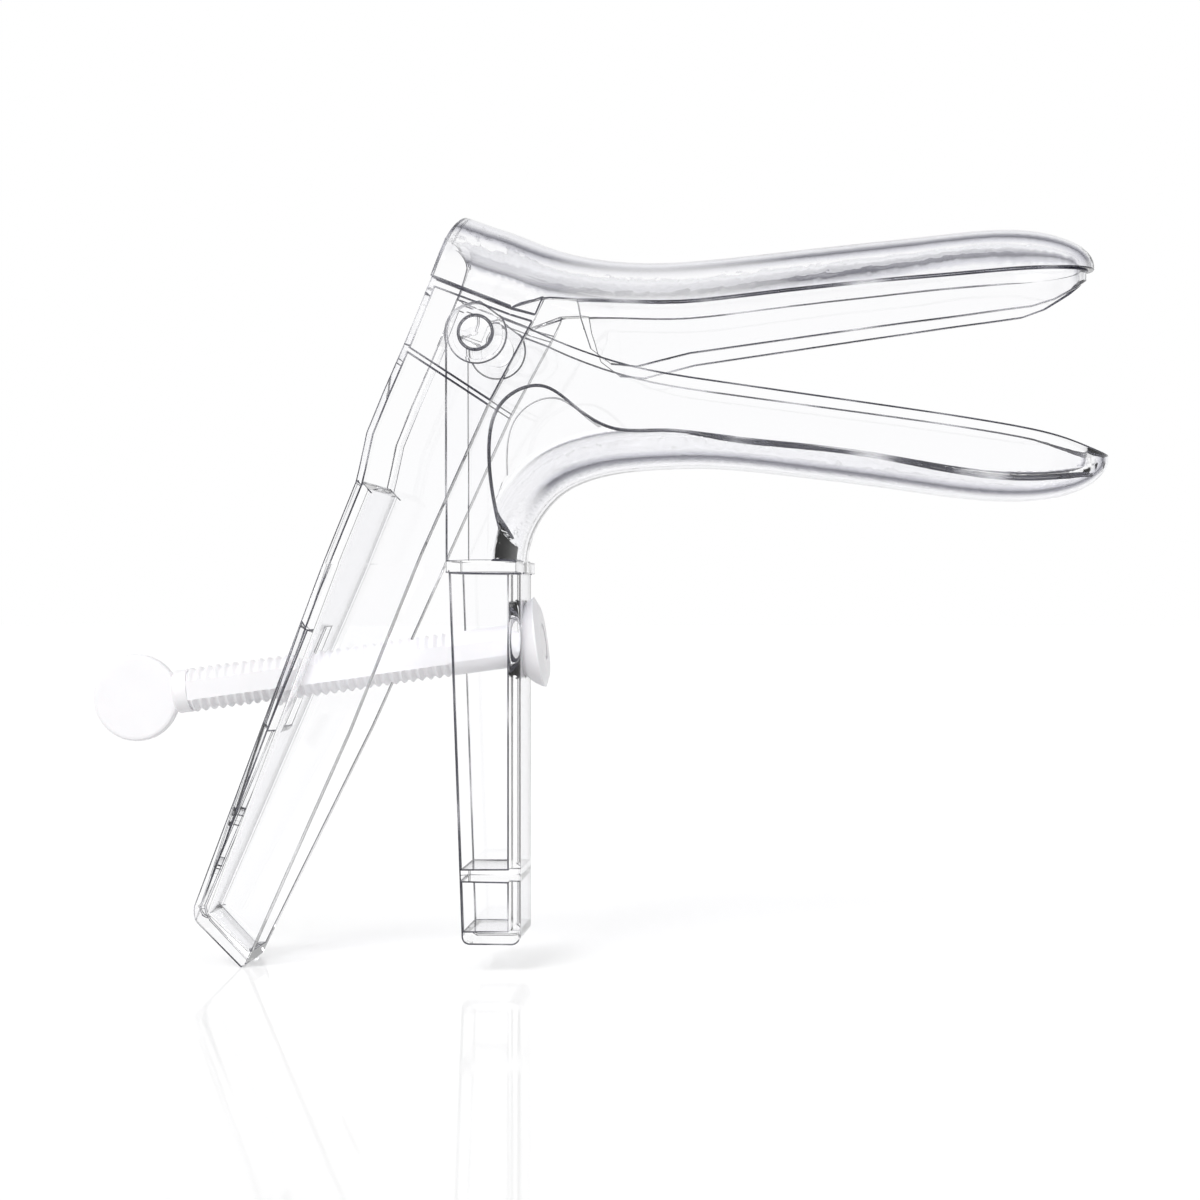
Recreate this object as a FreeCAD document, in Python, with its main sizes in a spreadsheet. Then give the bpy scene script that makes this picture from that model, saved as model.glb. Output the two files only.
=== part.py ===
import FreeCAD, Part
import math
import os

import Sketcher

from FreeCAD import Placement, Rotation, Vector

os.makedirs("parts", exist_ok=True)
doc = FreeCAD.newDocument("bivalve_speculum")

# Sizes in millimetres and degrees. X runs from the hinge to the blade tips, Z up, both measured
# from the hinge axis. The origin of the part is the middle of the foot of the front handle.
SIZES = {
    "hinge_height": (112.4, "hinge axis above the foot"),
    "hinge_setback": (1.8, "hinge axis behind the middle of the foot"),
    "lap_wall": (1.2, "each blade wall where the two blades overlap"),
    "lap_gap": (0.2, "gap between the overlapping walls"),
    "handle_wall": (2.2, "webs, floors and ribs of the handles"),
    "flange_wall": (2.0, "flanges of the handles"),
    "channel_bevel": (1.4, "bevelled rear corners of the cheeks and the rear handle"),
    "channel_fillet": (1.2, "inside corners of the rear handle"),
    "handle_round": (1.8, "rounded front corners of the front handle"),
    "groove_deep": (0.35, "depth of the two grooves across each cheek"),
    "foot_groove": (1.2, "width of the groove under the hood"),
    "cross_groove": (0.8, "width of the groove across the cheek"),
    "lead_in_deep": (0.8, "lead-in for the pin, inside the cheek"),
    "lead_in_width": (5.6, "lead-in for the pin, inside the cheek"),
    "arch_fullness": (0.82, "1 is a box, 0.71 an ellipse"),
    "upper_arch": (8.4, "height of the upper blade's arch over its straight sides"),
    "lower_arch": (5.6, "height of the lower blade's arch over its straight sides"),
    "lap_arch": (2.2, "height of the arch inside the lower blade's lap"),
    "blade_root_width": (29.2, "outside width where the flare ends"),
    "blade_tip_width": (23.4, "outside width where the nose starts"),
    "nose_length": (16.0, "rounded end of each blade"),
    "cheek_outside": (38.6, "width over the two cheeks"),
    "cheek_wall": (2.4, "thickness of a cheek"),
    "ear_gap": (0.3, "gap between the arm and the cheek"),
    "hood_step": (0.2, "the hood stands this far proud of the cheek"),
    "hood_flare_start": (4.0, "where the hood starts to narrow"),
    "hood_flare_end": (22.0, "where the upper blade reaches its own width"),
    "arm_flare_start": (10.0, "where the lower valve starts to narrow"),
    "arm_flare_end": (34.0, "where the lower blade reaches its own width"),
    "pin_radius": (3.1, "stub pins of the hinge"),
    "pin_clearance": (0.05, "pin in the cheek's hole, on the radius"),
    "pin_dome": (0.9, "rounded end of the pin, proud of the cheek"),
    "ear_radius": (6.1, "round end of the arm about the hinge"),
    "pad_radius": (5.3, "raised face of the ear, against the cheek"),
    "boss_radius": (4.6, "thick middle of the ear, inside"),
    "boss_depth": (1.6, "how far the boss stands inwards"),
    "ear_face_gap": (0.1, "running gap between the ear's face and the cheek"),
    "arm_back": (5.8, "rear edge of the arms behind the hinge"),
    "shelf_top": (41.4, "top of the shelf below the hinge"),
    "shelf_drop": (43.6, "underside of the shelf below the hinge"),
    "web_front": (7.2, "front face of the front handle ahead of the hinge"),
    "handle_width": (22.0, "width of the front handle"),
    "flange_back_top": (6.0, "rear edge of the front handle's flange at the shelf"),
    "flange_back_foot": (3.6, "rear edge of the front handle's flange at the foot"),
    "foot_edge": (1.4, "rounded edge of the foot"),
    "rib_height": (12.6, "middle of the rib above the foot"),
    "screw_hole_drop": (56.0, "centre of the screw's hole below the hinge"),
    "screw_hole_radius": (7.2, "hole in the front handle"),
    "web_back": (22.2, "rear face of the rear handle behind the hinge, at the web's top"),
    "web_top_drop": (27.0, "top of the rear handle's web below the hinge"),
    "handle_lean": (22.3, "lean of the rear handle from upright"),
    "tail_drop": (117.6, "lowest point of the rear handle below the hinge"),
    "taper_top_drop": (42.0, "where the rear handle starts to narrow"),
    "tail_width": (14.6, "width of the rear handle's lower end"),
    "heel_rise": (11.5, "heel of the rear handle above its lowest point"),
    "toe_ahead": (8.8, "toe of the rear handle ahead of its heel"),
    "toe_floor": (2.9, "floor of the rear handle at its toe"),
    "web_bevel": (1.2, "slope at the top of the rear handle's web, inside"),
    "slot_length": (19.0, "screw slot in the rear handle"),
    "slot_clearance": (0.25, "stem in the slot, on the radius"),
    "slot_drop": (63.0, "centre of the screw slot below the hinge"),
    "screw_tilt": (7.9, "the stem rises this much towards the front"),
    "head_radius": (8.5, "rim of the screw's head"),
    "ball_radius": (9.5, "rounded back of the head"),
    "head_gap": (0.3, "gap between the head and the edge of its hole"),
    "head_back": (4.8, "radius of the head's flat back"),
    "head_rim": (0.3, "straight rim of the head"),
    "head_bevel": (0.8, "depth of the bevelled front of the head"),
    "head_front": (6.6, "radius of the head's front face"),
    "neck_radius": (2.5, "neck of the screw inside the head"),
    "neck_clearance": (0.05, "neck in the head, on the radius"),
    "snap_radius": (3.3, "snap end of the neck"),
    "snap_length": (1.5, "length of the snap end"),
    "snap_gap": (0.1, "end play of the neck in the head"),
    "shank_radius": (4.05, "smooth shank"),
    "shank_length": (13.0, "smooth shank"),
    "ridge_radius": (4.25, "crests of the stem"),
    "groove_depth": (0.6, "between the crests"),
    "ridge_pitch": (1.68, "from crest to crest"),
    "ridged_length": (50.4, "ridged stem"),
    "flat_width": (7.5, "across the two flats of the stem"),
    "flat_strip": (3.6, "plain strip along each flat, with no grooves"),
    "flat_end": (2.0, "the flats stop this far behind the head"),
    "stem_bevel": (0.5, "bevelled ends of the collar and the snap end"),
    "collar_radius": (4.1, "collar between the stem and the knob"),
    "collar_length": (2.9, "collar between the stem and the knob"),
    "knob_overlap": (0.7, "the knob's disc reaches this far into the collar"),
    "knob_radius": (8.3, "disc knob"),
    "knob_thickness": (2.6, "disc knob"),
    "knob_edge": (0.8, "rounded edge of the knob"),
}

# The outlines in side view, from the hinge, as X and Z.
UPPER_CROWN = [(-14, 22.8), (-8.5, 23.6), (-3.2, 23.2), (2.5, 21.2), (8.8, 18.9), (16, 16.4), (24, 15.0),
               (32, 14.6), (42, 15.1), (56, 16.5), (76, 18.5), (96.8, 20.2)]
UPPER_LEDGE = [(18, 6.3), (26, 6.1), (36, 5.9), (49, 7.1), (84, 10.6), (113.2, 12.5)]
HOOD_CORNER = (12.4, 6.4)
HOOD_FOOT = (6.5, 4.6)
UPPER_RIM = [(18.6, 3.0), (20.4, -2.6), (24.2, -5.5), (29, -5.9), (38.7, -3.5), (72, 1.1), (101, 4.9),
             (105.2, 6.3), (109.2, 8.6), (111.6, 10.4), (112.9, 11.6)]
UPPER_TIP = (113.3, 13.3)
HOOD_BACK = [(-2.8, 23.5), (-3.7, 21.0), (-5.6, 17.0), (-8.2, 10.4)]
CHEEK_BACK = [(-8.2, 10.4), (-13.5, -2.4), (-17.1, -10.5), (-20.2, -18.0)]
CHEEK_FRONT = [(10.9, 2.8), (2.3, -13.2), (-9.4, -39.0), (-24.0, -73.0)]
LOWER_CROWN = [(7.3, -47, 180), (7.4, -42, 176), (8.6, -36, 160), (11.8, -30.9, 138), (16.6, -27.2, 116),
               (23.2, -25.1, 101), (31, -24.2, 92), (42, -24.0, 90), (56, -25.3, 90), (76, -27.9, 90),
               (99.9, -30.3, 90)]
LOWER_TIP = (115.9, -22.4)
FOOT_GROOVE = [(-9.5, 9.9), (6.5, 3.7), (12.4, 2.0)]
CROSS_GROOVE = [(-16.0, -0.6), (6.0, -15.0)]
LEAD_IN = [(0.0, 0.0), (12.0, -6.6)]
LOWER_RIM = [(9.8, 1.0), (17.9, -2.5), (29.6, -6.1), (42, -8.3), (72, -12.7), (95, -16.3), (107, -19.0),
             (112.6, -20.9), (115.9, -21.9)]
EAR_ARC = (149, 85)
HEEL_ROUND = [(0.0, 0.0), (0.1, -1.7), (0.9, -3.2)]
HUMP = [(5.2, -42.6), (3.4, -33.0), (2.0, -21.0), (4.4, -12.4), (11.6, -9.4), (17.2, -12.8), (24.4, -17.1), (34, -17.5)]
LOWER_LEDGE = [(42, -18.3), (72, -21.9), (98, -25.6), (115.7, -23.4)]

sheet = doc.addObject("Spreadsheet::Sheet", "sizes")
for row, (alias, (number, note)) in enumerate(SIZES.items(), start=1):
    sheet.set(f"A{row}", alias)
    sheet.set(f"B{row}", str(number))
    sheet.set(f"C{row}", note)
    sheet.setAlias(f"B{row}", alias)
doc.recompute()


def size(alias):
    """The sheet's value of one size."""
    return float(sheet.get(alias))


HINGE = Vector(-size("hinge_setback"), 0, size("hinge_height"))
WALL = 2 * size("lap_wall") + size("lap_gap")
CHEEK_OUT = size("cheek_outside") / 2
CHEEK_IN = CHEEK_OUT - size("cheek_wall")
ARM_OUT = CHEEK_IN - size("ear_gap")
HANDLE_HALF = size("handle_width") / 2

# Forms that cut, or that are cut off, reach past the part: this far from the middle plane, from the
# crowns of the blades, upwards and backwards from the hinge. SPARE is what a cutting form has more
# than the form it cuts, and OVERLAP how far joined forms reach into each other.
WIDE = 30.0
DEEP = 44.0
FAR = 60.0
BEHIND = -80.0
SPARE = 2.0
OVERLAP = 0.5


def at(x, z, y=0.0):
    """A point given from the hinge, in the part's frame."""
    return HINGE + Vector(x, y, z)


def feature(name, shape):
    """A helper solid of the document."""
    item = doc.addObject("Part::Feature", name)
    item.Shape = shape
    return item


def side_solid(name, runs, half=WIDE):
    """A solid of width 2 x half, from a closed side outline of straight and curved runs."""
    edges = []
    for kind, points in runs:
        places = [at(x, z, -half) for x, z in points]
        if kind == "curve":
            spline = Part.BSplineCurve()
            spline.interpolate(places)
            edges.append(spline.toShape())
        else:
            edges += [Part.LineSegment(a, b).toShape() for a, b in zip(places, places[1:])]
    face = Part.Face(Part.Wire(edges))
    return feature(name, face.extrude(Vector(0, 2 * half, 0)))


def trough_section(x, z, angle, half, rise, depth):
    """One cross-section of a trough: a flattened arch at the crown and straight sides towards the opening."""
    open_way = Vector(math.cos(math.radians(angle)), 0, math.sin(math.radians(angle)))
    crown = at(x, z)
    across = Vector(0, half, 0)
    low = [crown + open_way * rise - across, crown + open_way * rise + across]
    far = [crown + open_way * depth - across, crown + open_way * depth + across]
    fullness = size("arch_fullness")
    quarters = []
    for corner, tangent in ((low[0], crown - across), (low[1], crown + across)):
        quarter = Part.BezierCurve()
        quarter.setPoles([corner, tangent, crown])
        quarter.setWeight(2, fullness)
        quarters.append(quarter.toShape())
    edges = [Part.LineSegment(far[0], low[0]).toShape(), quarters[0], quarters[1],
             Part.LineSegment(low[1], far[1]).toShape(), Part.LineSegment(far[1], far[0]).toShape()]
    return Part.Wire(edges)


def smooth_step(value, start, end):
    """1 before start, 0 after end."""
    share = min(1.0, max(0.0, (value - start) / (end - start)))
    return 1 - share * share * (3 - 2 * share)


def blade_half(x, tip_x, root_half, flare_start, flare_end):
    """Half the outside width of a blade at x, before its rounded nose."""
    nose_start = tip_x - size("nose_length")
    share = min(1.0, max(0.0, (x - flare_end) / (nose_start - flare_end)))
    plain = size("blade_root_width") / 2 * (1 - share) + size("blade_tip_width") / 2 * share
    return plain + (root_half - plain) * smooth_step(x, flare_start, flare_end)


NOSE_STATIONS = (0.3, 0.55, 0.75, 0.88, 0.96, 0.995)


def trough(name, crown, tip, half_at, rise, side_inset, crown_inset, depth, open_angle):
    """A closed solid with a trough's outer form, set in from the blade's own outside by the insets."""
    sections = []
    for x, z, angle in crown:
        way = math.radians(angle)
        inset_x = x + crown_inset * math.cos(way)
        inset_z = z + crown_inset * math.sin(way)
        sections.append(trough_section(inset_x, inset_z, angle, half_at(x) - side_inset, rise, depth))
    last_x, last_z, last_angle = crown[-1]
    way = math.radians(open_angle)
    tip_x = tip[0] - crown_inset
    start_z = last_z + crown_inset * math.sin(way)
    last_half = half_at(last_x) - side_inset
    for share in NOSE_STATIONS:
        round_off = math.sqrt(1 - share * share)
        x = last_x + share * (tip_x - last_x)
        z = tip[1] + (start_z - tip[1]) * round_off
        sections.append(trough_section(x, z, last_angle, last_half * round_off, rise * round_off, depth))
    return feature(name, Part.makeLoft(sections, True, False))


def eased(kind, name, base, alias, chosen):
    """base with one size's fillet or chamfer on the edges chosen by their middle point and direction."""
    doc.recompute()
    numbers = []
    for number, edge in enumerate(base.Shape.Edges, start=1):
        middle = (edge.FirstParameter + edge.LastParameter) / 2
        if chosen(base.Shape, edge.valueAt(middle), edge.tangentAt(middle)):
            numbers.append(number)
    item = doc.addObject(kind, name)
    item.Base = base
    item.Edges = [(number, size(alias), size(alias)) for number in numbers]
    return item


def is_rear_edge(shape, point, along):
    """An edge down the side of a solid with nothing behind it."""
    side = 1 if point.y > 0 else -1
    step = 0.4
    behind = point + Vector(-step, -side * step, 0)
    ahead = point + Vector(step, -side * step, 0)
    return (abs(along.y) < 0.5 and not shape.isInside(behind, 1e-6, True)
            and shape.isInside(ahead, 1e-6, True))


def cut(name, base, *tools):
    """base less every tool."""
    result = base
    for number, tool in enumerate(tools, start=1):
        step = doc.addObject("Part::Cut", f"{name}_cut_{number}")
        step.Base = result
        step.Tool = tool
        result = step
    result.Label = name
    return result


def common(name, *shapes):
    """What all the shapes share."""
    item = doc.addObject("Part::MultiCommon", name)
    item.Shapes = list(shapes)
    return item


def fuse(name, *shapes):
    """All the shapes as one."""
    item = doc.addObject("Part::MultiFuse", name)
    item.Shapes = list(shapes)
    item.Refine = True
    return item


def box(name, low, high):
    """A box from expressions for its low and high corners, from the part's origin."""
    item = doc.addObject("Part::Box", name)
    for key, axis, first, last in zip(("Length", "Width", "Height"), "xyz", low, high):
        item.setExpression(key, f"({last}) - ({first})")
        item.setExpression(f"Placement.Base.{axis}", first)
    return item


def cross_cylinder(name, radius, x, z, y, length):
    """A cylinder along Y from expressions."""
    item = doc.addObject("Part::Cylinder", name)
    item.Placement = Placement(Vector(), Rotation(Vector(1, 0, 0), -90))
    for key, text in (("Radius", radius), ("Height", length), ("Placement.Base.x", x),
                      ("Placement.Base.y", y), ("Placement.Base.z", z)):
        item.setExpression(key, text)
    return item


HINGE_X = "-sizes.hinge_setback"
HINGE_Z = "sizes.hinge_height"


def upper_half(x):
    """Half the outside width of the hood and the upper blade at x."""
    return blade_half(x, UPPER_TIP[0], CHEEK_OUT + size("hood_step"), size("hood_flare_start"), size("hood_flare_end"))


def lower_half(x):
    """Half the outside width of the arms and the lower blade at x."""
    return blade_half(x, LOWER_TIP[0], ARM_OUT, size("arm_flare_start"), size("arm_flare_end"))


def make_upper_blade():
    """The hood and the upper blade: full wall above the ledge, a thinner inset skirt below it."""
    crown = [(x, z, -90) for x, z in UPPER_CROWN]
    arch = size("upper_arch")
    skirt_inset = size("lap_wall") + size("lap_gap")
    outside = trough("upper_outside", crown, UPPER_TIP, upper_half, arch, 0, 0, DEEP, -90)
    inside = trough("upper_inside", crown, UPPER_TIP, upper_half, arch, WALL, WALL, DEEP + SPARE, -90)
    skirt_form = trough("skirt_form", crown, UPPER_TIP, upper_half, arch, skirt_inset, skirt_inset, DEEP, -90)
    past_tip = UPPER_TIP[0] + SPARE
    above = side_solid("above_ledge", [
        ("line", [UPPER_TIP, (past_tip, UPPER_TIP[1]), (past_tip, FAR), (-2.0, FAR), HOOD_BACK[0]]),
        ("line", HOOD_BACK), ("line", [HOOD_BACK[-1], HOOD_FOOT, HOOD_CORNER, UPPER_LEDGE[0]]),
        ("curve", UPPER_LEDGE), ("line", [UPPER_LEDGE[-1], UPPER_TIP])])
    below = side_solid("below_ledge", [
        ("curve", UPPER_LEDGE), ("line", [UPPER_LEDGE[-1], UPPER_RIM[-1]]),
        ("line", UPPER_RIM[::-1]), ("line", [UPPER_RIM[0], UPPER_LEDGE[0]])])
    hood = common("hood_and_blade", above, cut("upper_shell", outside, inside))
    skirt = common("upper_skirt", below, cut("skirt_shell", skirt_form, inside))
    return hood, skirt


def handle_half(drop, inset):
    """Half the rear handle's width at a drop below the hinge, less an inset."""
    share = (drop - size("taper_top_drop")) / (size("tail_drop") - size("taper_top_drop"))
    return CHEEK_OUT - max(0.0, share) * (CHEEK_OUT - size("tail_width") / 2) - inset


def front_solid(name, inset):
    """The rear handle's and cheeks' outline as seen from the front, as deep as the whole part."""
    drops = (-WIDE, size("taper_top_drop"), size("tail_drop") + 2 * SPARE)
    right = [Vector(BEHIND, handle_half(drop, inset), HINGE.z - drop) for drop in drops]
    left = [Vector(p.x, -p.y, p.z) for p in reversed(right)]
    face = Part.Face(Part.makePolygon(right + left + right[:1]))
    return feature(name, face.extrude(Vector(FAR - BEHIND, 0, 0)))


def down_the_handle(x, drop, fall):
    """The point below x at the given further drop, along the leaning handle."""
    return (x - (fall - drop) * math.tan(math.radians(size("handle_lean"))), -fall)


def make_rear_frame():
    """The two cheeks and the rear handle, a channel open to the front."""
    tail = size("tail_drop")
    web_top = size("web_top_drop")
    back_x = -size("web_back")
    web = size("handle_wall")
    heel = down_the_handle(back_x, web_top, tail - size("heel_rise"))
    heel_round = [(heel[0] + x, heel[1] + z) for x, z in HEEL_ROUND]
    toe = (heel[0] + size("toe_ahead"), -tail)
    outer_back = CHEEK_BACK + [(back_x + 0.6, -web_top + 2.5), (back_x, -web_top), heel]
    outer = side_solid("frame_outline", [
        ("line", outer_back), ("curve", heel_round),
        ("line", [heel_round[-1], toe, (toe[0] + 1.0, -tail + 0.6), CHEEK_FRONT[-1]]),
        ("line", CHEEK_FRONT[::-1]), ("line", [CHEEK_FRONT[0], HOOD_CORNER, HOOD_FOOT, CHEEK_BACK[0]])])
    bevel = size("web_bevel")
    inner_heel = (heel[0] + web, heel[1] - 1.2)
    inner_toe = (toe[0] + 0.9, toe[1] + size("toe_floor"))
    behind = BEHIND / 2
    inner = side_solid("frame_hollow", [
        ("line", [(behind, WIDE), (behind, -web_top), (back_x + web - bevel, -web_top),
                  (back_x + web, -web_top - bevel), inner_heel]),
        ("line", [inner_heel, inner_toe, (0, inner_toe[1]), (WIDE, WIDE - tail), (WIDE, WIDE), (behind, WIDE)])])
    solid = common("frame_block", outer, front_solid("frame_front", 0))
    hollow = common("frame_space", inner, front_solid("hollow_front", size("cheek_wall")))
    hood_end = at(*CHEEK_BACK[0]).z - 1
    heel_end = at(*heel).z
    web_end = at(0, -web_top - 2).z
    block = eased("Part::Chamfer", "bevelled_block", solid, "channel_bevel",
                  lambda shape, point, along: heel_end < point.z < hood_end and point.x < HINGE.x - 5
                  and is_rear_edge(shape, point, along))
    space = eased("Part::Fillet", "round_space", hollow, "channel_fillet",
                  lambda shape, point, along: point.z < web_end and is_rear_edge(shape, point, along))
    return cut("rear_frame", block, space)


def strips(name, points, width, near, far):
    """Strips of one width along a line in side view, on both sides, from near to far off the middle plane."""
    solids = []
    for (x1, z1), (x2, z2) in zip(points, points[1:]):
        run = Vector(x2 - x1, 0, z2 - z1)
        across = Vector(-run.z, 0, run.x).normalize() * (width / 2)
        for side in (1, -1):
            start = at(x1, z1, side * near)
            corners = [start + across, start - across, start - across + run, start + across + run]
            face = Part.Face(Part.makePolygon(corners + corners[:1]))
            solids.append(face.extrude(Vector(0, side * (far - near), 0)))
    return feature(name, solids[0].fuse(solids[1:]))


def make_upper_valve():
    """The hood, the upper blade, the cheeks and the rear handle, with their bores, slot and grooves."""
    hood, skirt = make_upper_blade()
    valve = fuse("upper_parts", hood, skirt, make_rear_frame())
    bores = cross_cylinder("pin_bores", "sizes.pin_radius + sizes.pin_clearance", HINGE_X, HINGE_Z,
                           "-sizes.cheek_outside", "2 * sizes.cheek_outside")
    slot_half = "(sizes.ridge_radius + sizes.slot_clearance)"
    slot_z = "sizes.hinge_height - sizes.slot_drop"
    slot = box("screw_slot", (str(BEHIND), f"-{slot_half}", f"{slot_z} - sizes.slot_length / 2"),
               ("-sizes.web_back", slot_half, f"{slot_z} + sizes.slot_length / 2"))
    groove = CHEEK_OUT - size("groove_deep")
    under_hood = strips("foot_groove", FOOT_GROOVE, size("foot_groove"), groove, WIDE)
    across_cheek = strips("cross_groove", CROSS_GROOVE, size("cross_groove"), groove, WIDE)
    lead_in = strips("lead_in", LEAD_IN, size("lead_in_width"), ARM_OUT, CHEEK_IN + size("lead_in_deep"))
    return cut("upper_valve", valve, bores, slot, under_hood, across_cheek, lead_in)


def make_trough():
    """The lower blade and its bend down to the shelf, with the lap above the hump line."""
    arch = size("lower_arch")
    lap_rise = size("lap_arch")
    lap_crown = WALL + 0.4
    outside = trough("lower_outside", LOWER_CROWN, LOWER_TIP, lower_half, arch, 0, 0, DEEP, 90)
    inside = trough("lower_inside", LOWER_CROWN, LOWER_TIP, lower_half, arch, WALL, WALL, DEEP + SPARE, 90)
    lap_form = trough("lap_form", LOWER_CROWN, LOWER_TIP, lower_half, lap_rise, size("lap_wall"), lap_crown,
                      DEEP + 2 * SPARE, 90)
    hump_and_ledge = HUMP + LOWER_LEDGE
    last = hump_and_ledge[-1]
    past_tip = LOWER_TIP[0] + 2 * SPARE
    lap_zone = side_solid("lap_zone", [
        ("curve", hump_and_ledge),
        ("line", [last, (past_tip, last[1]), (past_tip, WIDE), (-WIDE, WIDE), (-WIDE, HUMP[0][1]), HUMP[0]])])
    lap = common("lap_space", lap_zone, lap_form)
    shell = cut("lower_shell", outside, inside, lap)
    back = -size("arm_back")
    ear = size("ear_radius")
    ear_arc = [(back, -2.0)] + [(ear * math.cos(math.radians(turn)), ear * math.sin(math.radians(turn)))
                                for turn in EAR_ARC]
    outline = side_solid("lower_outline", [
        ("line", [(back, -size("shelf_drop")), ear_arc[0]]), ("curve", ear_arc),
        ("line", [ear_arc[-1], (4.6, 3.0), LOWER_RIM[0]]), ("curve", LOWER_RIM),
        ("line", [LOWER_RIM[-1], (past_tip, LOWER_RIM[-1][1]), (past_tip, -size("shelf_drop")),
                  (back, -size("shelf_drop"))])])
    return common("lower_trough", shell, outline)


def make_ears():
    """The stub pins and the bosses behind them, on both sides."""
    solids = []
    face = CHEEK_IN - size("ear_face_gap")
    inside = ARM_OUT - size("lap_wall")
    for side in (1, -1):
        turn = Rotation(Vector(1, 0, 0), -90 * side)
        pad = Part.makeCylinder(size("pad_radius"), face - inside - OVERLAP)
        pad.translate(Vector(0, 0, inside + OVERLAP))
        boss = Part.makeCylinder(size("boss_radius"), size("boss_depth") + OVERLAP)
        boss.translate(Vector(0, 0, inside - size("boss_depth")))
        pin = Part.makeCylinder(size("pin_radius"), CHEEK_OUT - inside - OVERLAP)
        pin.translate(Vector(0, 0, inside + OVERLAP))
        dome_height = size("pin_dome")
        dome_sphere = (size("pin_radius") ** 2 + dome_height ** 2) / (2 * dome_height)
        dome = Part.makeSphere(dome_sphere)
        dome.translate(Vector(0, 0, CHEEK_OUT + dome_height - dome_sphere))
        cap_zone = Part.makeCylinder(size("pin_radius"), 2 * dome_height + OVERLAP)
        cap_zone.translate(Vector(0, 0, CHEEK_OUT - OVERLAP))
        stub = pad.fuse([boss, pin, dome.common(cap_zone)])
        stub.Placement = Placement(HINGE, turn)
        solids.append(feature(f"ear_{'left' if side > 0 else 'right'}", stub))
    return solids


def make_front_handle():
    """The front handle: a channel open to the rear, with its shelf, rib and foot."""
    back_top = -size("flange_back_top")
    back_foot = -size("flange_back_foot")
    front = size("web_front")
    foot = -size("hinge_height")
    edge = size("foot_edge")
    wall = size("handle_wall")
    soft = 0.3 * edge
    shelf = -size("shelf_drop")
    top = shelf + OVERLAP
    outline = side_solid("handle_outline", [
        ("line", [(back_top, top), (back_foot, foot + edge)]),
        ("curve", [(back_foot, foot + edge), (back_foot + soft, foot + soft), (back_foot + edge, foot)]),
        ("line", [(back_foot + edge, foot), (front - edge, foot)]),
        ("curve", [(front - edge, foot), (front - soft, foot + soft), (front, foot + edge)]),
        ("line", [(front, foot + edge), (front, top), (back_top, top)])], HANDLE_HALF)
    front_edge = at(front, 0).x - 0.1
    outline = eased("Part::Fillet", "round_handle", outline, "handle_round",
                    lambda shape, point, along: point.x > front_edge and abs(along.z) > 0.9)
    hollow_half = HANDLE_HALF - size("flange_wall")
    rib = foot + size("rib_height")
    hollows = []
    spans = ((shelf + SPARE, rib + wall / 2), (rib - wall / 2, foot + wall))
    for number, (high, low) in enumerate(spans, start=1):
        hollows.append(side_solid(f"handle_hollow_{number}", [
            ("line", [(-WIDE, high), (-WIDE, low), (front - wall, low), (front - wall, high), (-WIDE, high)])],
            hollow_half))
    hole = doc.addObject("Part::Cylinder", "screw_hole")
    hole.Placement = Placement(Vector(), Rotation(Vector(0, 1, 0), 90))
    hole.setExpression("Radius", "sizes.screw_hole_radius")
    hole.setExpression("Height", "sizes.handle_width")
    hole.setExpression("Placement.Base.z", "sizes.hinge_height - sizes.screw_hole_drop")
    shelf_plate = side_solid("shelf", [("line", [
        (-size("arm_back"), -size("shelf_top")), (-size("arm_back"), shelf), (front, shelf),
        (front, -size("shelf_top")), (-size("arm_back"), -size("shelf_top"))])], ARM_OUT - 0.1)
    return cut("front_handle", outline, *hollows, hole), shelf_plate


def make_lower_valve():
    """The lower blade, the arms with their pins, and the front handle."""
    handle, shelf_plate = make_front_handle()
    return fuse("lower_valve", make_trough(), handle, shelf_plate, *make_ears())


BALL_AHEAD = math.sqrt((size("ball_radius") + size("head_gap")) ** 2 - size("screw_hole_radius") ** 2)
SWIVEL = at(size("web_front") + BALL_AHEAD, -size("screw_hole_drop"))
TILT = Rotation(Vector(0, 1, 0), -size("screw_tilt"))


def along_ball(radius):
    """Where the head's rounded back has this radius, behind the swivel's centre."""
    return -math.sqrt(size("ball_radius") ** 2 - radius ** 2)


HEAD_BACK = along_ball(size("head_back"))
RIM_BACK = along_ball(size("head_radius"))
HEAD_FRONT = RIM_BACK + size("head_rim") + size("head_bevel")
SNAP_BACK = HEAD_FRONT - size("snap_length") - size("snap_gap")
SHOULDER = HEAD_BACK - size("snap_gap")


def new_body(label):
    """A body whose own X axis is the screw's axis, tilted about the swivel's centre."""
    body = doc.addObject("PartDesign::Body", label)
    body.Label = label
    body.Placement = Placement(SWIVEL, TILT)
    return body


def plane_of(body, role):
    """One of the body's own planes or axes."""
    return next(f for f in body.Origin.OriginFeatures if f.Role == role)


def line_outline(sketch, points):
    """A closed outline of straight lines through points, each fixed by its two distances."""
    count = len(points)
    for start, end in zip(points, points[1:] + points[:1]):
        sketch.addGeometry(Part.LineSegment(Vector(*start, 0), Vector(*end, 0)), False)
    for number in range(count):
        sketch.addConstraint(Sketcher.Constraint("Coincident", number, 2, (number + 1) % count, 1))
    for number, (x, y) in enumerate(points):
        sketch.addConstraint(Sketcher.Constraint("DistanceX", -1, 1, number, 1, x))
        sketch.addConstraint(Sketcher.Constraint("DistanceY", -1, 1, number, 1, y))


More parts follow.
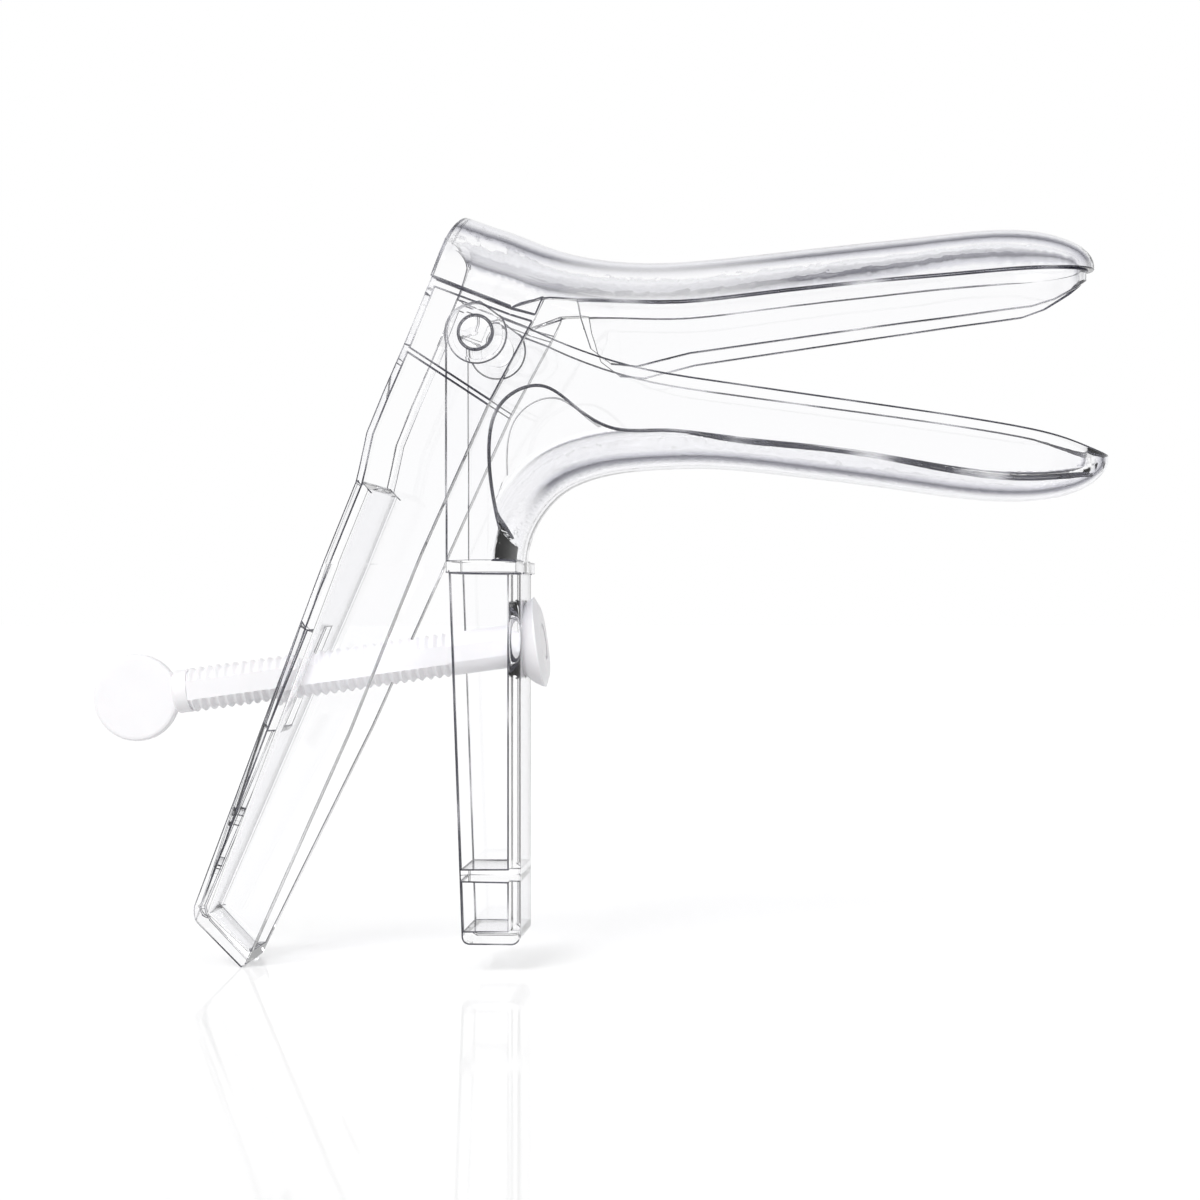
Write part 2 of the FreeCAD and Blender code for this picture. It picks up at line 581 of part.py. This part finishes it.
def turned(body, name, points, centre=None):
    """A turned form from half its outline: about the body's X axis, or across it at centre."""
    sketch = body.newObject("Sketcher::SketchObject", f"{name}_outline")
    sketch.AttachmentSupport = (plane_of(body, "XY_Plane"), [""])
    sketch.MapMode = "FlatFace"
    line_outline(sketch, points)
    axis = (plane_of(body, "X_Axis"), [""])
    if centre is not None:
        sketch.addGeometry(Part.LineSegment(Vector(centre, -5, 0), Vector(centre, 5, 0)), True)
        axis = (sketch, ["Axis0"])
    turn = body.newObject("PartDesign::Revolution", name)
    turn.Profile = sketch
    turn.ReferenceAxis = axis
    turn.Angle = 360
    return turn


def make_head():
    """The flared head, with a rounded back that swivels in the hole of the front handle."""
    body = new_body("screw_head")
    ball = size("ball_radius")
    start = math.asin(size("head_back") / ball)
    end = math.asin(size("head_radius") / ball)
    steps = 8
    back = []
    for number in range(steps + 1):
        turn = start + (end - start) * number / steps
        back.append((-ball * math.cos(turn), ball * math.sin(turn)))
    bore = size("neck_radius") + size("neck_clearance")
    recess = size("snap_radius") + 4 * size("neck_clearance")
    outline = back + [(RIM_BACK + size("head_rim"), size("head_radius")), (HEAD_FRONT, size("head_front")),
                      (HEAD_FRONT, recess), (SNAP_BACK, recess), (SNAP_BACK, bore), (HEAD_BACK, bore)]
    turned(body, "head_form", outline)
    return body


def side_box(body, name, kind, start, low, lengths):
    """A box of the body from start along its X axis, from low across it, level with its middle."""
    item = body.newObject(kind, name)
    item.AttachmentSupport = (plane_of(body, "XY_Plane"), [""])
    item.MapMode = "FlatFace"
    item.AttachmentOffset = Placement(Vector(start, 0, 0), Rotation())
    item.setExpression("AttachmentOffset.Base.y", low)
    item.setExpression("AttachmentOffset.Base.z", f"-({lengths[2]}) / 2")
    for key, text in zip(("Length", "Width", "Height"), lengths):
        item.setExpression(key, text)


RIDGE_SHARES = (-0.48, -0.32, -0.16, 0.0, 0.16, 0.32, 0.48)


def make_screw():
    """The stem with its ridges and flats, the collar, the disc knob, the neck and its snap end."""
    body = new_body("locking_screw")
    crest = size("ridge_radius")
    root = crest - size("groove_depth")
    shank_back = SHOULDER - size("shank_length")
    ridged_back = shank_back - size("ridged_length")
    collar_back = ridged_back - size("collar_length")
    snap_end = HEAD_FRONT - size("snap_gap")
    neck = size("neck_radius")
    snap_start = SNAP_BACK + size("snap_gap")
    bevel = size("stem_bevel")
    core = [(collar_back, 0), (collar_back, size("collar_radius") - bevel),
            (collar_back + bevel, size("collar_radius")), (ridged_back, size("collar_radius")), (ridged_back, root),
            (shank_back, root), (shank_back, size("shank_radius")), (SHOULDER, size("shank_radius")),
            (SHOULDER, neck), (snap_start, neck), (snap_start, size("snap_radius")),
            (snap_end, size("snap_radius") - bevel), (snap_end, 0)]
    turned(body, "stem", core)
    pitch = size("ridge_pitch")
    middle = ridged_back + pitch / 2
    wave = []
    for share in RIDGE_SHARES:
        rise = size("groove_depth") * (1 + math.cos(2 * math.pi * share)) / 2
        wave.append((middle + share * pitch, root + rise))
    below = root - OVERLAP
    turned(body, "ridge", [(wave[0][0], below), *wave, (wave[-1][0], below)])
    rows = body.newObject("PartDesign::LinearPattern", "ridges")
    rows.Originals = [body.getObject("ridge")]
    rows.Direction = (plane_of(body, "X_Axis"), [""])
    count = int(size("ridged_length") / pitch)
    rows.Length = pitch * (count - 1)
    rows.Occurrences = count
    body.Tip = rows
    flat = "sizes.flat_width"
    flat_run = "sizes.ridged_length + sizes.shank_length - sizes.flat_end"
    crest_high = "2 * sizes.ridge_radius"
    side_box(body, "strip", "PartDesign::AdditiveBox", ridged_back, f"-{flat} / 2",
             ("sizes.ridged_length", flat, "sizes.flat_strip"))
    side_box(body, "flat_left", "PartDesign::SubtractiveBox", ridged_back, f"{flat} / 2",
             (flat_run, "sizes.ridge_radius", crest_high))
    side_box(body, "flat_right", "PartDesign::SubtractiveBox", ridged_back, f"-{flat} / 2 - sizes.ridge_radius",
             (flat_run, "sizes.ridge_radius", crest_high))
    centre = collar_back + size("knob_overlap") - size("knob_radius")
    edge = size("knob_edge")
    half = size("knob_thickness") / 2
    rim = []
    for turn in (0, 30, 60, 90):
        angle = math.radians(turn)
        reach = size("knob_radius") - edge * (1 - math.cos(angle))
        rim.append((centre + reach, half - edge * (1 - math.sin(angle))))
    lower = [(x, -y) for x, y in reversed(rim)]
    turned(body, "knob", [(centre, -half), *lower, *rim, (centre, half)], centre)
    return body


NODES = {
    "upper_valve": make_upper_valve(),
    "lower_valve": make_lower_valve(),
    "screw_head": make_head(),
    "locking_screw": make_screw(),
}
doc.recompute()
faulty = [item.Name for item in doc.Objects if "Invalid" in item.State or "Error" in item.State]
if faulty:
    raise RuntimeError(f"these objects failed: {faulty}")
for node, item in NODES.items():
    item.Label = node
    shape = item.Shape
    if shape.isNull() or not shape.isValid() or len(shape.Solids) != 1:
        raise RuntimeError(f"{node} is not one valid solid")
    shape.exportStep(f"parts/{node}.step")
    print(node, round(shape.Volume, 1), shape.BoundBox)
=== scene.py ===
"""A clear bivalve speculum with a white locking screw, standing on a pale studio floor."""

import math

import bmesh
import bpy
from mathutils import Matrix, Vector


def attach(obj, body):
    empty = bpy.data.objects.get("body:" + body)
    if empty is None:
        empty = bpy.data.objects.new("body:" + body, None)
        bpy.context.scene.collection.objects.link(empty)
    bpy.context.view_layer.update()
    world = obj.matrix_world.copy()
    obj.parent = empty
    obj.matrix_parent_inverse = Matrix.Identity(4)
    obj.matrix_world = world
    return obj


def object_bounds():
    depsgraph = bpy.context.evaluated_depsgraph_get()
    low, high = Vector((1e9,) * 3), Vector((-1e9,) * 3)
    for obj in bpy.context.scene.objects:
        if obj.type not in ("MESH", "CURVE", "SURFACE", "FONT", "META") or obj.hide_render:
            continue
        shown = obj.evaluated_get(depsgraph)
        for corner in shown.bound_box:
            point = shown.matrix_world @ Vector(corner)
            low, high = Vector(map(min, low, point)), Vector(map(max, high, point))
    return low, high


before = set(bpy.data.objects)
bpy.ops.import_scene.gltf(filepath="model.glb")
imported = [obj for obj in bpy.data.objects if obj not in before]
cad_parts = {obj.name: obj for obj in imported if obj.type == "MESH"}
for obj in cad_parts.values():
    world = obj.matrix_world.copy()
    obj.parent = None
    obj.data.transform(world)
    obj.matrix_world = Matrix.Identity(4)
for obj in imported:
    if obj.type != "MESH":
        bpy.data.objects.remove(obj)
cad_low, cad_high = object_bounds()
scene = bpy.context.scene
scene.view_settings.view_transform = "Standard"

# The photograph's camera, level with the middle of the object and a little to its right.
AIM = Vector((0.01946, 0.0, 0.06379))
AZIMUTH = math.radians(4.3)
DISTANCE = 0.465
PHOTO_SIDE = 1200
FOCAL_PIXELS = 2464.5
SENSOR = 36.0

# The floor: its width, its plain lit tone, what takes that up to white, and the share and
# roughness of its reflection.
FLOOR_SIZE = 12.0
FLOOR_TONE = 0.8
FLOOR_LIFT = 0.3
FLOOR_MIRROR = 0.22
FLOOR_GLOSS = 0.06

# Edges of the clear pieces that turn by more than this get a thin dark bead of painted shade:
# its radius, how far inside the corner its centre is, and the shortest run that shows. Corners
# of the mesh nearer to each other than the last length are one.
EDGE_TURN = math.radians(32)
EDGE_SHADE_RADIUS = 0.00016
EDGE_INSET = 0.00019
SHORTEST_EDGE = 0.0015
SAME_CORNER = 1e-6

# Round the hinge only the near pin's outer end shows as an edge: the hinge axis, the circle
# that is kept clear about it, and how far out the pins' ends are.
HINGE = Vector((-0.0018, 0.0, 0.1124))
HINGE_CLEAR = 0.0085
PIN_END = 0.0191

# Edges are finer at the start of the upper blade's skirt, out to this reach, and along the
# cheeks' inside faces, which are this far from the middle, give or take. Those along the far
# side are finer too. The shares are of the full radius.
SKIRT_START = Vector((0.0182, 0.0, 0.1124))
SKIRT_REACH = 0.0075
CHEEK_INSIDE = 0.0168
INSIDE_REACH = 0.0005
FINE_SHARE = 0.35
FAR_SHARE = 0.45

# Where the round backs of the blades are, which get the darker painted shade: above this
# height for the upper one, and for the lower one ahead of the arms, above the shelf and under
# its rim. Each fades in from the first value to the second.
UPPER_BACK = (0.1215, 0.1265)
BEND_FRONT = (0.006, 0.011)
BEND_FOOT = (0.069, 0.072)
LOWER_BACK = (0.096, 0.091)

# The clear plastic's colour, with painted shade by how far it turns away from the view, grey
# to near black, on the blades' round backs and on its plain walls, as places from 0 to 1 and
# colours.
CLEAR = (0.99, 0.99, 0.995)
BACK_PAINTED_SHADE = [
    (0.0, CLEAR), (0.32, (0.96, 0.96, 0.98)), (0.43, (0.5, 0.5, 0.57)),
    (0.54, (0.015, 0.015, 0.025)), (0.62, (0.12, 0.12, 0.15)), (0.76, (0.85, 0.85, 0.89)),
    (1.0, (0.4, 0.4, 0.45))]
WALL_PAINTED_SHADE = [
    (0.0, CLEAR), (0.4, (0.97, 0.97, 0.98)), (0.7, (0.82, 0.82, 0.85)), (1.0, (0.6, 0.6, 0.64))]

# The painted shade of the edge beads, near black, and how much it fades, along a noise of a few
# millimetres.
EDGE_PAINTED_SHADE = [(0.38, (0.02, 0.02, 0.035)), (0.54, (0.1, 0.1, 0.13)), (0.68, (0.45, 0.45, 0.49))]
EDGE_SHADE_FADE = [(0.45, (0.04, 0.04, 0.04)), (0.7, (0.75, 0.75, 0.75))]

# The clear plastic's shadow, from the floor up to the height from which it is palest.
SHADOW_HEIGHT = 0.018
SHADOW_TINT = [(0.0, (0.12, 0.12, 0.13)), (1.0, (0.86, 0.86, 0.875))]

# The white plastic's mottle.
WHITE_TONE = [(0.3, (0.93, 0.92, 0.94)), (0.7, (0.955, 0.945, 0.965))]

# The room's plain level, and its colours from the horizon up, with the band that gloss and
# clear edges pick up.
ROOM_LEVEL = 0.5
ROOM_TONES = [
    (0.0, (1.0, 1.0, 1.0)), (0.3, (0.98, 0.98, 0.98)), (0.55, (0.9, 0.9, 0.918)),
    (1.0, (1.0, 1.0, 1.0))]

# The part of a noise's range that most of its values lie in.
NOISE_MIDDLE = (0.3, 0.7)


def new_material(name):
    """An empty node material, and its node tree."""
    made = bpy.data.materials.new(name)
    made.use_nodes = True
    made.node_tree.nodes.clear()
    return made, made.node_tree


def feed(tree, socket, value):
    """Links another node's output to an input, or sets the input to a plain value."""
    if isinstance(value, bpy.types.NodeSocket):
        tree.links.new(value, socket)
    else:
        socket.default_value = value


def add(tree, kind, **values):
    """A node of that kind, its properties and inputs set by name, with _ for a space."""
    node = tree.nodes.new(kind)
    for name, value in values.items():
        if hasattr(node, name):
            setattr(node, name, value)
        else:
            feed(tree, node.inputs[name.replace("_", " ")], value)
    return node


def grey(level):
    """An opaque grey."""
    return (level, level, level, 1.0)


def ramp(tree, source, stops):
    """The colours of a ramp, of (place, colour) stops, at the source's value."""
    node = add(tree, "ShaderNodeValToRGB", Fac=source)
    elements = node.color_ramp.elements
    while len(elements) < len(stops):
        elements.new(0.5)
    for element, (place, colour) in zip(elements, stops):
        element.position = place
        element.color = (*colour, 1.0)
    return node.outputs["Color"]


def remap(tree, source, start, end, low=0.0, high=1.0):
    """low where the source is at start, and high where it is at end."""
    node = add(tree, "ShaderNodeMapRange", Value=source,
               From_Min=start, From_Max=end, To_Min=low, To_Max=high)
    return node.outputs["Result"]


def combined(tree, operation, first, second):
    """Two values put together."""
    node = add(tree, "ShaderNodeMath", operation=operation)
    feed(tree, node.inputs[0], first)
    feed(tree, node.inputs[1], second)
    return node.outputs["Value"]


def mixed_colour(tree, share, first, second):
    """The first colour, and as large a share of the second."""
    node = add(tree, "ShaderNodeMixRGB", Fac=share, Color1=first, Color2=second)
    return node.outputs["Color"]


def mixed_shader(tree, share, first, second):
    """The first shader, and as large a share of the second."""
    node = add(tree, "ShaderNodeMixShader", Fac=share)
    feed(tree, node.inputs[1], first)
    feed(tree, node.inputs[2], second)
    return node.outputs["Shader"]


def coordinate(tree, space, axis):
    """A place along one axis, in the object's own metres or in the world's directions."""
    place = add(tree, "ShaderNodeTexCoord")
    split = add(tree, "ShaderNodeSeparateXYZ", Vector=place.outputs[space])
    return split.outputs[axis]


def noise(tree, scale, detail=2.0):
    """Noise in the object's own metres."""
    place = add(tree, "ShaderNodeTexCoord")
    node = add(tree, "ShaderNodeTexNoise", Scale=scale, Detail=detail,
               Vector=place.outputs["Object"])
    return node.outputs["Fac"]


def uneven(tree, scale, low, high):
    """A value that wanders between low and high."""
    return remap(tree, noise(tree, scale), *NOISE_MIDDLE, low, high)


def bumps(tree, height, strength, distance):
    """Normals for a surface that is raised by height."""
    node = add(tree, "ShaderNodeBump", Height=height, Strength=strength, Distance=distance)
    return node.outputs["Normal"]


def rays(tree, *kinds):
    """1 for light rays of any of these kinds, and 0 for the rest."""
    light_path = add(tree, "ShaderNodeLightPath")
    found = light_path.outputs[kinds[0]]
    for kind in kinds[1:]:
        found = combined(tree, "MAXIMUM", found, light_path.outputs[kind])
    return found


def strong_shade_mask(tree):
    """1 on the round backs of the two blades, which get the darker painted shade, and 0 on the flat
    walls.
    """
    height = coordinate(tree, "Object", "Z")
    upper = remap(tree, height, *UPPER_BACK)
    ahead = remap(tree, coordinate(tree, "Object", "X"), *BEND_FRONT)
    above_shelf = remap(tree, height, *BEND_FOOT)
    under_rim = remap(tree, height, *LOWER_BACK)
    lower = combined(tree, "MULTIPLY", combined(tree, "MULTIPLY", ahead, above_shelf), under_rim)
    return combined(tree, "MAXIMUM", upper, lower)


def lamps_pass(tree, shader):
    """The shader, with pale shadows, but for those of what is near the floor."""
    rise = combined(tree, "DIVIDE", coordinate(tree, "Object", "Z"), SHADOW_HEIGHT)
    passing = add(tree, "ShaderNodeBsdfTransparent", Color=ramp(tree, rise, SHADOW_TINT))
    return mixed_shader(tree, rays(tree, "Is Shadow Ray"), shader, passing.outputs["BSDF"])


def clear_plastic(name):
    """Moulded clear polystyrene: a faint flow waviness, and painted shade, grey where it is seen
    aslant.
    """
    made, tree = new_material(name)
    turn = add(tree, "ShaderNodeLayerWeight", Blend=0.5).outputs["Facing"]
    # Painted shade: the colour turns grey to near black where the surface is seen aslant.
    wall, back = ramp(tree, turn, WALL_PAINTED_SHADE), ramp(tree, turn, BACK_PAINTED_SHADE)
    painted_shade_colour = mixed_colour(tree, strong_shade_mask(tree), wall, back)
    leaves = add(tree, "ShaderNodeNewGeometry").outputs["Backfacing"]
    shell = add(tree, "ShaderNodeBsdfPrincipled", IOR=1.5, Transmission_Weight=1.0,
                Base_Color=mixed_colour(tree, leaves, painted_shade_colour, (*CLEAR, 1.0)),
                Roughness=uneven(tree, scale=260.0, low=0.0, high=0.006),
                Normal=bumps(tree, noise(tree, scale=30.0, detail=0.0),
                             strength=0.01, distance=0.0002))
    add(tree, "ShaderNodeOutputMaterial", Surface=lamps_pass(tree, shell.outputs["BSDF"]))
    return made


def edge_shade_finish(name):
    """Painted shade for the clear plastic's edges: near-black beads that fade out in runs of a few
    millimetres.
    """
    made, tree = new_material(name)
    run = noise(tree, scale=80.0, detail=1.0)
    # Painted shade: a near-black colour on the edge beads.
    edge = add(tree, "ShaderNodeBsdfPrincipled", IOR=1.5, Base_Color=ramp(tree, run, EDGE_PAINTED_SHADE),
               Roughness=uneven(tree, scale=400.0, low=0.12, high=0.25))
    nothing = add(tree, "ShaderNodeBsdfTransparent")
    add(tree, "ShaderNodeOutputMaterial", Surface=mixed_shader(
        tree, ramp(tree, run, EDGE_SHADE_FADE), edge.outputs["BSDF"], nothing.outputs["BSDF"]))
    return made


def white_plastic(name):
    """Moulded white plastic: soft, faintly mottled, with a fine satin grain."""
    made, tree = new_material(name)
    body = add(tree, "ShaderNodeBsdfPrincipled", IOR=1.46, Subsurface_Weight=0.12,
               Subsurface_Radius=(0.0012, 0.001, 0.001),
               Base_Color=ramp(tree, noise(tree, scale=140.0, detail=3.0), WHITE_TONE),
               Roughness=uneven(tree, scale=900.0, low=0.3, high=0.42),
               Normal=bumps(tree, noise(tree, scale=4200.0, detail=3.0),
                            strength=0.15, distance=0.0001))
    add(tree, "ShaderNodeOutputMaterial", Surface=body.outputs["BSDF"])
    return made


def chains(mesh):
    """The runs of edges where a mesh turns sharply, as lists of points just inside its surface."""
    work = bmesh.new()
    work.from_mesh(mesh)
    bmesh.ops.remove_doubles(work, verts=work.verts, dist=SAME_CORNER)
    work.normal_update()
    inset = {}
    links = {}
    for edge in work.edges:
        if len(edge.link_faces) != 2 or edge.calc_face_angle() < EDGE_TURN:
            continue
        inward = -(edge.link_faces[0].normal + edge.link_faces[1].normal).normalized()
        if not edge.is_convex:
            inward = -inward
        for vert in edge.verts:
            inset[vert] = inset.get(vert, Vector()) + inward
            links.setdefault(vert, []).append(edge)
    found = []
    used = set()
    # Runs that end somewhere come first, from one of their ends, and closed rings after them.
    starts = [v for v in links if len(links[v]) != 2] + list(links)
    for start in starts:
        for first in links[start]:
            if first in used:
                continue
            run = [start]
            edge = first
            while edge not in used:
                used.add(edge)
                run.append(edge.other_vert(run[-1]))
                onward = [e for e in links[run[-1]] if e not in used]
                if len(links[run[-1]]) != 2 or not onward:
                    break
                edge = onward[0]
            found.append([v.co + inset[v].normalized() * EDGE_INSET for v in run])
    work.free()
    return found


def middle_of(run):
    """The mean point of a run."""
    return sum(run, Vector()) / len(run)


def length_of(run):
    """How long a run is."""
    return sum((b - a).length for a, b in zip(run, run[1:]))


def away(run, axis):
    """How far a run is from an axis across the part, on average."""
    return sum(math.hypot(place.x - axis.x, place.z - axis.z) for place in run) / len(run)


def hidden_at_hinge(run):
    """Whether a run lies round the hinge axis, and isn't the near pin's outer end."""
    return away(run, HINGE) < HINGE_CLEAR and middle_of(run).y > -PIN_END


def thickness(run):
    """A run's share of the full bead: finer inside the cheeks, at the skirt and on the far side."""
    across = middle_of(run).y
    if abs(abs(across) - CHEEK_INSIDE) < INSIDE_REACH or away(run, SKIRT_START) < SKIRT_REACH:
        return FINE_SHARE
    return FAR_SHARE if across > 0 else 1.0


def shade_beads(node, body, finish):
    """Painted shade along a clear node's sharp edges, as thin dark round beads."""
    data = bpy.data.curves.new(node.name + "_edge_line", "CURVE")
    data.dimensions = "3D"
    data.bevel_depth = EDGE_SHADE_RADIUS
    data.bevel_resolution = 1
    data.use_fill_caps = True
    for run in chains(node.data):
        if length_of(run) < SHORTEST_EDGE or hidden_at_hinge(run):
            continue
        line = data.splines.new("POLY")
        line.points.add(len(run) - 1)
        share = thickness(run)
        for point, place in zip(line.points, run):
            point.co = (*place, 1.0)
            point.radius = share
    thread = bpy.data.objects.new("edge_line", data)
    scene.collection.objects.link(thread)
    bpy.context.view_layer.update()
    mesh = bpy.data.meshes.new_from_object(thread)
    bpy.data.objects.remove(thread)
    mesh.materials.clear()
    mesh.materials.append(finish)
    for face in mesh.polygons:
        face.use_smooth = True
    piece = bpy.data.objects.new(node.name + "_edge_shade_beads", mesh)
    scene.collection.objects.link(piece)
    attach(piece, body)


def dress():
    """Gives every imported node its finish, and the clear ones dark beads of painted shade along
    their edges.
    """
    clear = clear_plastic("clear_polystyrene_painted_shade")
    edge = edge_shade_finish("painted_edge_shade")
    white = white_plastic("white_plastic")
    for name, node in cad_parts.items():
        is_clear = name.endswith("_valve")
        node.data.materials.clear()
        node.data.materials.append(clear if is_clear else white)
        for face in node.data.polygons:
            face.material_index = 0
        if is_clear:
            # Dark beads of painted shade along the sharp edges.
            shade_beads(node, name, edge)


def floor():
    """A pale floor that keeps shadows and a faint reflection, and is white where it is seen."""
    bpy.ops.mesh.primitive_plane_add(size=FLOOR_SIZE, location=(0.0, 0.0, cad_low.z))
    ground = bpy.context.object
    ground.name = "floor"
    made, tree = new_material("pale_floor")
    matt = add(tree, "ShaderNodeBsdfDiffuse", Color=grey(FLOOR_TONE))
    mirror = add(tree, "ShaderNodeBsdfGlossy", Roughness=FLOOR_GLOSS)
    looked_at = rays(tree, "Is Camera Ray", "Is Glossy Ray", "Is Transmission Ray")
    lift = add(tree, "ShaderNodeEmission",
               Strength=combined(tree, "MULTIPLY", looked_at, FLOOR_LIFT))
    total = add(tree, "ShaderNodeAddShader")
    feed(tree, total.inputs[0], mixed_shader(
        tree, FLOOR_MIRROR, matt.outputs["BSDF"], mirror.outputs["BSDF"]))
    feed(tree, total.inputs[1], lift.outputs["Emission"])
    add(tree, "ShaderNodeOutputMaterial", Surface=total.outputs["Shader"])
    ground.data.materials.append(made)


def surroundings():
    """A white studio, at a plain level for matt surfaces, and in full for glass and gloss."""
    world = bpy.data.worlds.new("studio")
    world.use_nodes = True
    scene.world = world
    tree = world.node_tree
    tree.nodes.clear()
    room = ramp(tree, coordinate(tree, "Generated", "Z"), ROOM_TONES)
    glass_or_gloss = rays(tree, "Is Glossy Ray", "Is Transmission Ray")
    indirect = mixed_colour(tree, glass_or_gloss, grey(ROOM_LEVEL), room)
    back = add(tree, "ShaderNodeBackground",
               Color=mixed_colour(tree, rays(tree, "Is Camera Ray"), indirect, grey(1.0)))
    add(tree, "ShaderNodeOutputWorld", Surface=back.outputs["Background"])


def soft_light(name, place, width, strength):
    """An even light that shines from place towards the object, and is width degrees across."""
    data = bpy.data.lights.new(name, "SUN")
    data.angle = math.radians(width)
    data.energy = strength
    lamp = bpy.data.objects.new(name, data)
    lamp.location = place
    lamp.rotation_euler = (AIM - Vector(place)).to_track_quat("-Z", "Y").to_euler()
    scene.collection.objects.link(lamp)


def camera():
    """The photograph's view."""
    data = bpy.data.cameras.new("camera")
    data.sensor_width = SENSOR
    data.lens = FOCAL_PIXELS / PHOTO_SIDE * SENSOR
    data.clip_start = 0.01
    eye = bpy.data.objects.new("camera", data)
    eye.location = AIM + DISTANCE * Vector((math.sin(AZIMUTH), -math.cos(AZIMUTH), 0.0))
    eye.rotation_euler = (math.radians(90), 0.0, AZIMUTH)
    scene.collection.objects.link(eye)
    scene.camera = eye


camera()
dress()
floor()
surroundings()
soft_light("key", place=(-0.45, -0.95, 0.95), width=30, strength=1.65)
soft_light("fill", place=(0.8, -0.6, 0.7), width=50, strength=0.35)
